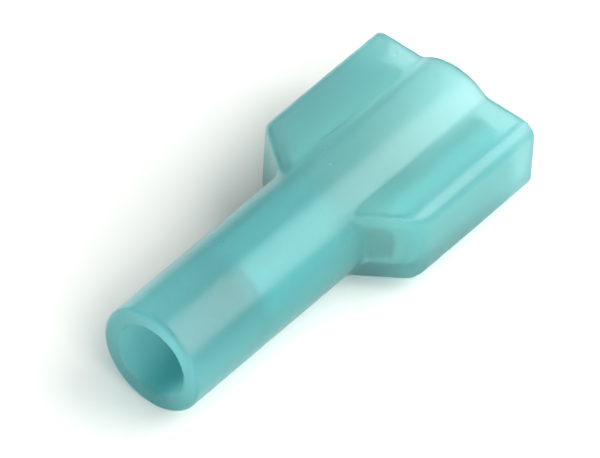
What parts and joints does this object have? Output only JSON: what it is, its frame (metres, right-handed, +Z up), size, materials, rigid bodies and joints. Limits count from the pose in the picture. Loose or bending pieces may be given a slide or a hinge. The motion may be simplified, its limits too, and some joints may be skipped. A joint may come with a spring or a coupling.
{
  "type": "female spade terminal",
  "caption": "Fully insulated female spade terminal: a translucent nylon housing with a flat winged head and a round wire barrel, over a rolled sheet-metal receptacle.",
  "frame": {"origin": "centre of the wire mouth, where the insulated wire enters", "axes": "+X along the wire barrel towards the tab mouth, +Y across the wings of the head, +Z up through the spine, square to the flat tab"},
  "size_m": [0.022, 0.0098, 0.0056],
  "materials": {
    "nylon": "translucent teal-blue moulded nylon, satin",
    "tinned_brass": "tin-plated brass sheet, satin"
  },
  "bodies": {
    "root": {"housing": "nylon", "terminal": "tinned_brass"}
  },
  "joints": []
}
